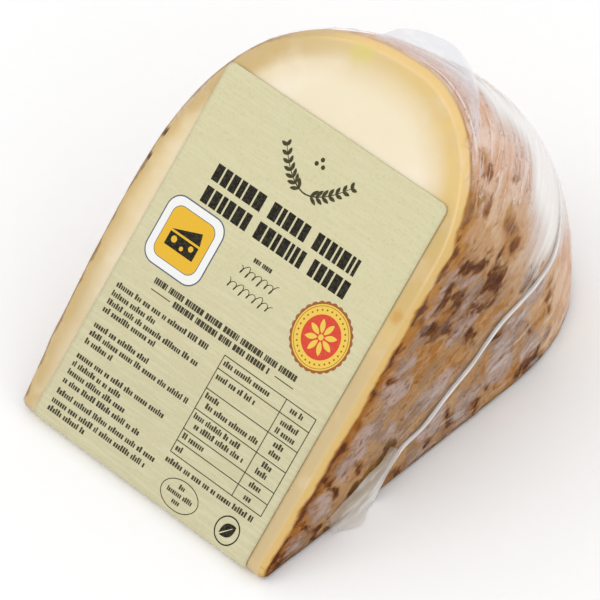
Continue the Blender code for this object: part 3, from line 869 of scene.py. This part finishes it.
path = smooth_line(ROLL_PATH, ROLL_STEPS)
centre, out = on_skin(path[:, 0], path[:, 1])
ahead = unit(np.gradient(centre, axis=0))
side = np.cross(out, ahead)
run = np.concatenate([[0], np.cumsum(np.linalg.norm(np.diff(centre, axis=0), axis=1))]) * MM
share = run / run[-1]
width = 1 + 0.5 * np.exp(-run / 7) + 0.16 * bumps(run / 8, run * 0, 51) + 0.7 * swell(share, 0.6, 0.85)
width = ROLL_WIDTH * width[:, None]
height = ROLL_HEIGHT * (1 + 0.2 * bumps(run / 6, run * 0, 52)) * (1 - 0.8 * swell(share, 0.75, 1))
turn = np.linspace(0, 2 * np.pi, ROLL_SIDES, endpoint=False)
level = np.where(np.sin(turn) > 0, np.sin(turn), 0.35 * np.sin(turn)) * height[:, None]
points = (
    centre[:, None]
    + side[:, None] * (np.cos(turn) * width / 2)[..., None] / MM
    + out[:, None] * (ROLL_LIFT + level)[..., None] / MM
)
points[..., 2] = np.maximum(points[..., 2], ROLL_FLOOR_GAP)
body = (1 - swell(share, 0.72, 1))[:, None]
roll = grid_piece("fold_roll", points, True, run=run[:, None], cross=(np.cos(turn) * 2)[None], body=body)
dress(roll, fold_finish("fold_roll_film", tint(230, 225, 222), 0.8, 0.3, soft_rims=True))

lengthwise = np.linspace(0, 1, FAN_STEPS)[:, None]
across = np.linspace(0, 1, FAN_COLUMNS)
top = smooth_line(FAN_TOP, FAN_STEPS)[:, None]
foot = smooth_line(FAN_FOOT, FAN_STEPS)[:, None]
flat_fan = top + (foot - top) * across[None, :, None]
puff = 0.3 + 0.8 * np.sin(np.pi * across) + 0.35 * across
ripple = 0.18 * bumps(across * 5 + 0.5, lengthwise * 4, 53)
points = on_skin(flat_fan[..., 0], flat_fan[..., 1], puff + ripple)[0]
toe = np.exp(-(((lengthwise - TOE_PLACE) / TOE_WIDTH) ** 2))
toe = toe * np.clip(across - 0.55, 0, 1) ** 1.3 * TOE_REACH
points = points + TOE_HEADING * toe[..., None] / MM
points[..., 2] = np.maximum(points[..., 2], FAN_FLOOR_GAP)
ends = np.sin(np.pi * np.clip(lengthwise, 0.02, 0.98)) ** 0.35
body = np.clip(ends * (0.6 + 0.5 * across), 0, 1)
fan = grid_piece("fold_fan", points, run=lengthwise * 25, cross=(across * 4)[None], body=body)
dress(fan, fold_finish("fold_fan_film", tint(208, 197, 180), 0.8, 0.2, tint(226, 219, 212)))

x, height = smooth_line(EAR_PROFILE, EAR_STEPS).T
height = np.clip(height, 0, None)[:, None] + (0.12 * bumps(x / 5, x * 0, 54) * swell(height, 0, 2))[:, None]
rise = np.linspace(0, 1, EAR_ROWS)
root = on_skin(np.interp(-x, -outline_x * MM, outline_along * MM), EAR_TURN)[0]
radial = np.array([0, math.cos(CUT_ANGLE * EAR_TURN), math.sin(CUT_ANGLE * EAR_TURN)])
level = rise * height - EAR_ROOT_DEPTH * (1 - rise)
lean = (0.2 * bumps(x[:, None] / 8, rise * 2.0, 55) - 0.35 * rise**2) * swell(height, 0, 3)
points = root[:, None] + radial * level[..., None] / MM + LABEL_OUT * lean[..., None] / MM
body = 0.55 + 0.85 * swell(rise, 0.15, 0.55)
ear = grid_piece("rim_ear", points, run=x[:, None], cross=(rise * 1.5)[None], body=body)
dress(ear, fold_finish("rim_ear_film", tint(208, 208, 218), 0.36, 0.08))

# The label. A sheet of uncoated cream paper with small round corners, stuck on the film. It lies flat on the
# cut, follows the rounded edge at its upper left corner, and is turned down over the tip. Millimetres.
PAPER_WIDTH = 61.7
PAPER_LEFT = LABEL_CENTRE_X * MM - PAPER_WIDTH / 2
PAPER_RIGHT = LABEL_CENTRE_X * MM + PAPER_WIDTH / 2
PAPER_TOP = LABEL_TOP * MM
PAPER_CORNER = 1.6
PAPER_GAP = 0.08
PAPER_THICKNESS = 0.14
PAPER_WRAP = 3.5
PAPER_COLUMNS = 60
PAPER_ROWS = 70
CORNER_ROWS = 8
TIP_BEND = TIP_TANGENT * MM


def paper_sag(x, up):
    """How far the paper follows the rounded edge where a corner of it reaches past the flat of the cut."""
    rim = np.stack([outline_x, outline_radius], -1) * MM
    sheet = np.stack([np.ravel(x), np.ravel(up)], -1)
    gap = np.linalg.norm(sheet[:, None] - rim[None], axis=-1).min(1).reshape(np.shape(x))
    over = np.clip(1 - gap / (EDGE_RADIUS * MM), 0, 1)
    return 0.9 * EDGE_RADIUS * MM * (1 - np.sqrt(1 - over**2))


def on_label(x, up, lift):
    """Points over the labelled cut. x runs across it and up from the tip line towards the rim."""
    x, up = np.broadcast_arrays(np.asarray(x, float), np.asarray(up, float))
    lift = lift - paper_sag(x, up)
    bend = CUT_ANGLE + np.pi / 2 + np.clip(TIP_BEND - up, 0, None) / (TIP_RADIUS * MM)
    level = np.clip(up, TIP_BEND, None) - TIP_BEND
    reach = TIP_RADIUS * MM + lift
    y = TIP_BEND + reach * np.cos(bend) + level * math.cos(CUT_ANGLE)
    z = TIP_RADIUS * MM + reach * np.sin(bend) + level * math.sin(CUT_ANGLE)
    return np.stack([x, y, z], -1) / MM


def cut_paper():
    """The sheet as a fine grid, narrower in its end rows so that the corners are round."""
    foot = TIP_BEND - PAPER_WRAP
    from_end = PAPER_CORNER * (1 - np.cos(np.linspace(0, np.pi / 2, CORNER_ROWS)))
    up = np.concatenate([
        PAPER_TOP - from_end,
        np.linspace(PAPER_TOP - PAPER_CORNER, TIP_BEND, PAPER_ROWS)[1:],
        np.linspace(TIP_BEND, foot + PAPER_CORNER, CORNER_ROWS)[1:],
        (foot + from_end)[::-1][1:],
    ])[:, None]
    into_corner = np.clip(PAPER_CORNER - np.minimum(PAPER_TOP - up, up - foot), 0, None)
    inset = PAPER_CORNER - np.sqrt(np.clip(PAPER_CORNER**2 - into_corner**2, 0, None))
    left, right = PAPER_LEFT + inset, PAPER_RIGHT - inset
    x = left + (right - left) * np.linspace(0, 1, PAPER_COLUMNS)
    sheet = grid_piece("label_sheet", on_label(x, up, PAPER_GAP))
    thickness = sheet.modifiers.new("paper thickness", "SOLIDIFY")
    thickness.thickness = PAPER_THICKNESS / MM
    thickness.offset = 1
    return sheet


def paper_finish():
    """Cream stock with a faint laid grain and small fibres, painted darker towards its foot as shade."""
    paper = Finish("label_paper", 0.72)
    broad = paper.clouds(paper.here(), 16, 2)
    grain = paper.clouds(paper.here(), 0.7, 3, 0.7)
    laid = paper.clouds(paper.here(0.08, 1.0, 1.0), 0.55, 2)
    # Darker towards the foot of the label: painted shade, where less light falls low down.
    paper.colour(paper.mingled(tint(208, 201, 160), tint(197, 189, 153), paper.axes()[2], 52, 14))
    paper.lay(tint(210, 204, 166), 0.6, broad)
    paper.lay(tint(188, 181, 138), 0.5, paper.between(grain, 0.5, 0.72))
    paper.lay(tint(220, 214, 180), 0.3, paper.between(laid, 0.45, 0.65))
    paper.relief(grain, 0.00004)
    return paper.material


label_sheet = cut_paper()
label_sheet.data.materials.append(paper_finish())
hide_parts("paper_label")
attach(label_sheet, "root")

# The printing. Plain fields and simple shapes of ink lie on the paper: rows of small blocks where a label
# has its words, ruled lines, a table, a framed gold square, a round seal, an oval, a leaf in a ring, two
# sprigs and pen loops. Places are in millimetres, from the wheel's middle and from the tip line.
INK_LIFT = 0.02
INK_DEPTH = PAPER_GAP + PAPER_THICKNESS + INK_LIFT
LAYER = 0.015
RING_STEPS = 72
BLACK_INK = tint(28, 24, 18)
BROWN_INK = tint(60, 54, 38)
OLIVE_INK = tint(62, 58, 34)
SLATE_INK = tint(92, 98, 116)
WHITE_INK = tint(236, 236, 234)
GOLD_INK = tint(228, 180, 50)
AMBER_INK = tint(232, 196, 84)
RED_INK = tint(212, 70, 52)
RUSSET_INK = tint(156, 92, 50)
PAPER_SHOWING = tint(216, 210, 170)


def ink_finish(name, colour):
    """Offset ink that lets a little of the paper's grain through."""
    ink = Finish(name, 0.6)
    ink.shader.inputs["Specular IOR Level"].default_value = 0.12
    grain = ink.clouds(ink.here(), 0.5, 3, 0.7)
    lighter = tuple(0.94 * level + 0.06 * bare for level, bare in zip(colour, PAPER_SHOWING))
    ink.colour(ink.mingled(colour, lighter, grain, 0.4, 0.7))
    return ink.material


class Print:
    """One printed item: flat shapes in one or more inks, laid on the label one over another."""

    def __init__(self, name):
        self.name = name
        self.points = []
        self.faces = []
        self.inks = []
        self.colours = []

    def area(self, outline, colour, layer=0):
        """A filled shape from its outline in label millimetres."""
        if colour not in self.colours:
            self.colours.append(colour)
        outline = np.asarray(outline, float)
        start = len(self.points)
        self.points += on_label(outline[:, 0], outline[:, 1], INK_DEPTH + layer * LAYER).tolist()
        self.faces.append(list(range(start, start + len(outline))))
        self.inks.append(self.colours.index(colour))

    def strip(self, line, widths, colour, layer=0):
        """A line of ink of changing width."""
        line = np.asarray(line, float)
        widths = np.broadcast_to(np.asarray(widths, float), len(line))[:, None] / 2
        ahead = unit(np.gradient(line, axis=0))
        side = np.stack([-ahead[:, 1], ahead[:, 0]], -1) * widths
        right, left = line - side, line + side
        for i in range(len(line) - 1):
            self.area([right[i], right[i + 1], left[i + 1], left[i]], colour, layer)

    def ring(self, x, up, across, high, width, colour, layer=0):
        turn = np.linspace(0, 2 * np.pi, RING_STEPS + 1)
        way = np.stack([np.cos(turn), np.sin(turn)], -1)
        inner = way * (across, high) + (x, up)
        outer = way * (across + width, high + width) + (x, up)
        for i in range(RING_STEPS):
            self.area([inner[i], outer[i], outer[i + 1], inner[i + 1]], colour, layer)

    def bar(self, left, right, low, high, colour, corner=0.0, layer=0):
        """A block with rounded corners."""
        if corner == 0:
            self.area([(left, low), (right, low), (right, high), (left, high)], colour, layer)
            return
        outline = []
        quarter = np.linspace(0, np.pi / 2, 9 if corner > 1 else 4)
        for i, (x, up) in enumerate(((right, high), (left, high), (left, low), (right, low))):
            centre_x = x - corner if x == right else x + corner
            centre_up = up - corner if up == high else up + corner
            for turn in quarter + i * np.pi / 2:
                outline.append((centre_x + corner * math.cos(turn), centre_up + corner * math.sin(turn)))
        self.area(outline, colour, layer)

    def row_of_blocks(self, left, right, middle, height, colour, seed, capitals=False):
        """Blocks in word-like groups, from left to right, that stand where a line of print would be."""
        draw = np.random.default_rng(seed)
        pitch = height * (0.6 if capitals else 0.74)
        x = left
        while x < right:
            for _ in range(draw.integers(4, 9) if capitals else draw.integers(2, 9)):
                wide = pitch * (draw.uniform(0.36, 1.0) if capitals else draw.uniform(0.5, 0.78))
                top = middle + height / 2
                if not capitals and draw.random() < 0.3:
                    top += height * 0.35
                if x + wide > right:
                    break
                self.bar(x, x + wide, middle - height / 2, top, colour)
                x += wide + pitch * (0.2 if capitals else 0.26)
            x += pitch * 0.75

    def finish(self):
        """Makes the piece, with a finish for each of its inks."""
        piece = new_piece(self.name, self.points, self.faces, smooth=False)
        for number, colour in enumerate(self.colours):
            piece.data.materials.append(ink_finish(f"{self.name}_ink_{number + 1}", colour))
        piece.data.polygons.foreach_set("material_index", np.array(self.inks, np.int32))
        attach(piece, "root")


def round_shape(x, up, radius, points=48):
    turn = np.linspace(0, 2 * np.pi, points, endpoint=False)
    return np.stack([x + radius * np.cos(turn), up + radius * np.sin(turn)], -1)


def leaf_shape(x, up, length, width, angle, points=9):
    """A pointed leaf that grows from x, up in the direction of angle."""
    share = np.linspace(0, 1, points)
    half = width / 2 * np.sin(np.pi * share) ** 0.8
    there = np.stack([share * length, half], -1)
    back = np.stack([share[::-1] * length, -half[::-1]], -1)[1:-1]
    outline = np.concatenate([there, back])
    turn = np.array([[math.cos(angle), math.sin(angle)], [-math.sin(angle), math.cos(angle)]])
    return outline @ turn + (x, up)


title = Print("title_blocks")
TITLE_HEIGHT = 3.8
for row, (left, right, middle) in enumerate(((-20.0, 22.3, 68.7), (-19.8, 22.2, 63.6))):
    title.row_of_blocks(left, right, middle, TITLE_HEIGHT, BLACK_INK, 61 + row, capitals=True)
title.finish()

notes = Print("note_rows")
NOTE_LEFT = -27.2
NOTE_HEIGHT = 0.95
HEADING_HEIGHT = 1.35
NOTE_ROWS = (
    (37.0, -0.3), (34.9, -14.6), (32.9, -0.7), (31.0, -11.7), (27.2, -11.1), (25.2, 1.4), (23.2, -19.0),
    (19.7, -1.5), (17.7, -12.8), (15.7, -10.1), (13.6, -4.4), (11.0, 1.4), (8.8, 0.3), (6.9, -15.9),
)
for row, (middle, right) in enumerate(NOTE_ROWS):
    notes.row_of_blocks(NOTE_LEFT, right, middle, NOTE_HEIGHT, BROWN_INK, 71 + row)
notes.row_of_blocks(3.5, 29.1, 12.9, NOTE_HEIGHT, BROWN_INK, 91)
for left, right, middle, height, seed in (
    (-19.7, 21.4, 42.5, HEADING_HEIGHT, 92),
    (-13.0, 15.2, 40.5, HEADING_HEIGHT, 93),
    (-1.5, 3.9, 58.0, NOTE_HEIGHT, 94),
):
    notes.row_of_blocks(left, right, middle, height, BROWN_INK, seed, capitals=True)
for left, right in ((-19.5, -14.0), (16.2, 21.4)):
    notes.bar(left, right, 40.35, 40.55, BROWN_INK)
notes.finish()

table = Print("ruled_table")
TABLE_LEFT = 3.6
TABLE_RIGHT = 29.6
TABLE_DIVIDER = 21.3
RULE = 0.2
TABLE_LINES = (38.0, 34.9, 30.1, 25.2, 20.3, 17.5, 14.7)
for up in TABLE_LINES:
    table.bar(TABLE_LEFT, TABLE_RIGHT, up - RULE / 2, up + RULE / 2, BROWN_INK)
for x in (TABLE_LEFT, TABLE_DIVIDER, TABLE_RIGHT):
    table.bar(x - RULE / 2, x + RULE / 2, TABLE_LINES[-1], TABLE_LINES[0], BROWN_INK, layer=1)
TABLE_ROWS = (
    (36.5, 4.3, 17.7, 23.3, 27.3), (33.3, 4.3, 15.4, 22.7, 28.1), (31.3, 0, 0, 22.5, 28.1),
    (28.7, 4.3, 8.9, 23.8, 26.8), (26.8, 5.6, 20.6, 23.8, 26.8), (23.8, 4.3, 17.7, 23.8, 26.7),
    (21.9, 5.6, 20.0, 23.2, 26.8), (18.9, 4.3, 10.8, 23.5, 26.7), (16.0, 4.3, 6.4, 23.9, 26.2),
)
for row, (middle, left, right, value_left, value_right) in enumerate(TABLE_ROWS):
    table.row_of_blocks(left, right, middle, NOTE_HEIGHT, BROWN_INK, 101 + row)
    table.row_of_blocks(value_left, value_right, middle, NOTE_HEIGHT, BROWN_INK, 121 + row)
table.finish()

square = Print("gold_square")
SQUARE_X = -18.2
SQUARE_UP = 52.9


def framed(half, corner, colour, layer):
    square.bar(SQUARE_X - half, SQUARE_X + half, SQUARE_UP - half, SQUARE_UP + half, colour, corner, layer)


framed(8.0, 3.6, SLATE_INK, 0)
framed(7.7, 3.3, WHITE_INK, 1)
framed(6.0, 2.3, SLATE_INK, 2)
framed(5.85, 2.2, GOLD_INK, 3)
wedge_front = [(-4.0, -2.9), (4.0, -2.9), (4.0, 0.2), (-4.0, 0.2)]
wedge_top = [(-4.0, 0.7), (4.0, 0.7), (3.2, 3.3)]
for outline in (wedge_front, wedge_top):
    square.area([(SQUARE_X + x, SQUARE_UP + up) for x, up in outline], BLACK_INK, 4)
for x, up, radius in ((-2.3, -1.0, 0.75), (0.3, -1.9, 0.5), (2.4, -0.8, 0.65)):
    square.area(round_shape(SQUARE_X + x, SQUARE_UP + up, radius, 20), GOLD_INK, 5)
square.finish()

seal = Print("round_seal")
SEAL_X = 21.1
SEAL_UP = 52.7
SEAL_RADIUS = 7.25
FIELD_RADIUS = 6.9
HEART_RADIUS = 4.75
SCALLOPS = 28
SCALLOP_DEPTH = 0.35
BEADS = 30
BEAD_CIRCLE = 5.7
PETALS = 8
PETAL_FOOT = 0.8
turn = np.linspace(0, 2 * np.pi, 288, endpoint=False)
scallop = SEAL_RADIUS + SCALLOP_DEPTH * np.abs(np.sin(turn * SCALLOPS / 2))
seal.area(np.stack([SEAL_X + scallop * np.cos(turn), SEAL_UP + scallop * np.sin(turn)], -1), RUSSET_INK)
seal.area(round_shape(SEAL_X, SEAL_UP, FIELD_RADIUS, 96), AMBER_INK, 1)
seal.ring(SEAL_X, SEAL_UP, 6.45, 6.45, 0.12, RUSSET_INK, 2)
for turn in np.arange(BEADS) * 2 * math.pi / BEADS:
    bead_x, bead_up = SEAL_X + BEAD_CIRCLE * math.cos(turn), SEAL_UP + BEAD_CIRCLE * math.sin(turn)
    seal.area(round_shape(bead_x, bead_up, 0.22, 10), RUSSET_INK, 2)
seal.area(round_shape(SEAL_X, SEAL_UP, HEART_RADIUS, 72), RED_INK, 2)
for turn in (np.arange(PETALS) + 0.5) * 2 * math.pi / PETALS:
    petal_x, petal_up = SEAL_X + PETAL_FOOT * math.cos(turn), SEAL_UP + PETAL_FOOT * math.sin(turn)
    seal.area(leaf_shape(petal_x, petal_up, 3.1, 1.25, turn), AMBER_INK, 3)
seal.area(round_shape(SEAL_X, SEAL_UP, 0.65, 20), AMBER_INK, 3)
seal.finish()

marks = Print("oval_and_leaf")
OVAL_X = 10.7
OVAL_UP = 8.0
OVAL_HALF = (4.9, 3.1)
marks.ring(OVAL_X, OVAL_UP, *OVAL_HALF, 0.2, BROWN_INK)
for left, right, up in ((9.6, 11.8, 9.6), (7.2, 14.2, 8.0), (9.6, 11.8, 6.4)):
    marks.row_of_blocks(left, right, up, 0.8, BROWN_INK, int(left * 10 + up))
LEAF_RING_X = 24.4
LEAF_RING_UP = 8.1
LEAF_RING_RADIUS = 2.85
marks.ring(LEAF_RING_X, LEAF_RING_UP, LEAF_RING_RADIUS, LEAF_RING_RADIUS, 0.3, BLACK_INK)
marks.area(leaf_shape(LEAF_RING_X - 1.5, LEAF_RING_UP - 1.5, 4.4, 2.9, math.pi / 4, 15), BLACK_INK, 1)
vein = [(LEAF_RING_X - 2.0, LEAF_RING_UP - 2.0), (LEAF_RING_X + 1.0, LEAF_RING_UP + 1.0)]
marks.strip(vein, (0.3, 0.12), PAPER_SHOWING, 2)
marks.finish()

sprigs = Print("crossed_sprigs")
SPRIG_X = 1.0
SPRIG_UP = 75.4
SPRIG_REACH = 9.6
SPRIG_RISE = 7.0
SPRIG_CURL = 1.8
STEM_WIDTH = 0.34
BERRIES_UP = 83.0


def along_stem(side, share):
    """A place on the left (-1) or right (1) stem, from its foot at share 0 to its end at 1."""
    return SPRIG_X + side * SPRIG_REACH * share, SPRIG_UP + SPRIG_RISE * share**SPRIG_CURL


for side in (-1, 1):
    share = np.linspace(0, 1, 24)
    sprigs.strip(np.stack(along_stem(side, share), -1), STEM_WIDTH * (1 - 0.6 * share), OLIVE_INK)
    for number, spot in enumerate(np.linspace(0.16, 0.94, 7)):
        climb = SPRIG_RISE * SPRIG_CURL * spot ** (SPRIG_CURL - 1)
        heading = math.atan2(climb, SPRIG_REACH * side)
        for lean in (-0.75, 0.7):
            blade = leaf_shape(*along_stem(side, spot), 2.5 - 0.9 * spot, 0.85, heading + lean)
            sprigs.area(blade, OLIVE_INK, 1 + number % 2)
for x, up in ((0.0, 0.4), (-0.9, -0.9), (0.9, -0.9)):
    sprigs.area(round_shape(SPRIG_X + x, BERRIES_UP + up, 0.5, 16), OLIVE_INK, 1)
sprigs.finish()

pen = Print("pen_loops")
for row, (left, right, up, loops) in enumerate(((-3.6, 6.6, 54.9, 6), (-4.8, 7.7, 51.1, 7))):
    share = np.linspace(0, 1, 180)
    turn = share * loops * 2 * np.pi
    tall = 0.75 + 0.55 * np.sin(share * 8 + 2 * row) ** 4
    x = left + (right - left) * share + 0.45 * np.sin(turn) + 0.3 * tall * np.cos(turn)
    line = np.stack([x, up + tall * np.cos(turn)], -1)
    pen.strip(line, 0.13 + 0.1 * np.sin(turn) ** 2, BROWN_INK)
pen.finish()

# The stage: a pale sweep under soft, even light from a large tent. The camera looks down on the label.
VIEW_AZIMUTH = math.radians(43.60)
VIEW_ELEVATION = math.radians(47.24)
VIEW_DISTANCE = 1.2
LENS_MM = 342.4
SENSOR_MM = 36
CLIP_START = 0.05
AIM = tip_line + Vector((0, 0.05301, 0.02054))
FLOOR_SIZE = 4.0
TENT_STRENGTH = 0.96
KEY_BOX = {"direction": (-0.35, -0.6, 0.9), "distance": 0.9, "size": 0.7, "watts": 1.0}
SIDE_BOX = {"direction": (1.0, -0.25, 0.5), "distance": 0.9, "size": 0.6, "watts": 0.4}


def lay_floor():
    half = FLOOR_SIZE / 2
    shape = bpy.data.meshes.new("floor")
    corners = [(-half, -half, 0), (half, -half, 0), (half, half, 0), (-half, half, 0)]
    shape.from_pydata(corners, [], [(0, 1, 2, 3)])
    sheet = bpy.data.objects.new("floor", shape)
    bpy.context.scene.collection.objects.link(sheet)
    pale = Finish("floor_card", 0.9)
    grain = pale.clouds(pale.here(), 3, 2)
    pale.colour(pale.over(tint(251, 251, 251), tint(253, 253, 253), grain))
    shape.materials.append(pale.material)


def hang_softbox(name, direction, distance, size, watts):
    """A square diffuse light that faces the cheese from this direction."""
    data = bpy.data.lights.new(name, "AREA")
    data.shape = "SQUARE"
    data.size = size
    data.energy = watts
    lamp = bpy.data.objects.new(name, data)
    towards = Vector(direction).normalized()
    lamp.location = AIM + towards * distance
    lamp.rotation_euler = towards.to_track_quat("Z", "Y").to_euler()
    bpy.context.scene.collection.objects.link(lamp)


def set_camera():
    data = bpy.data.cameras.new("camera")
    data.lens = LENS_MM
    data.sensor_width = SENSOR_MM
    data.clip_start = CLIP_START
    camera = bpy.data.objects.new("camera", data)
    level = math.cos(VIEW_ELEVATION)
    back = Vector((
        math.sin(VIEW_AZIMUTH) * level,
        -math.cos(VIEW_AZIMUTH) * level,
        math.sin(VIEW_ELEVATION),
    ))
    camera.location = AIM + back * VIEW_DISTANCE
    camera.rotation_euler = (math.pi / 2 - VIEW_ELEVATION, 0, VIEW_AZIMUTH)
    bpy.context.scene.collection.objects.link(camera)
    bpy.context.scene.camera = camera


lay_floor()
hang_softbox("key", **KEY_BOX)
hang_softbox("side", **SIDE_BOX)
tent = bpy.data.worlds.new("light_tent")
tent.use_nodes = True
glow = tent.node_tree.nodes["Background"]
glow.inputs["Color"].default_value = (1.0, 1.0, 1.0, 1.0)
glow.inputs["Strength"].default_value = TENT_STRENGTH
bpy.context.scene.world = tent
bpy.context.scene.view_settings.view_transform = "Standard"
set_camera()
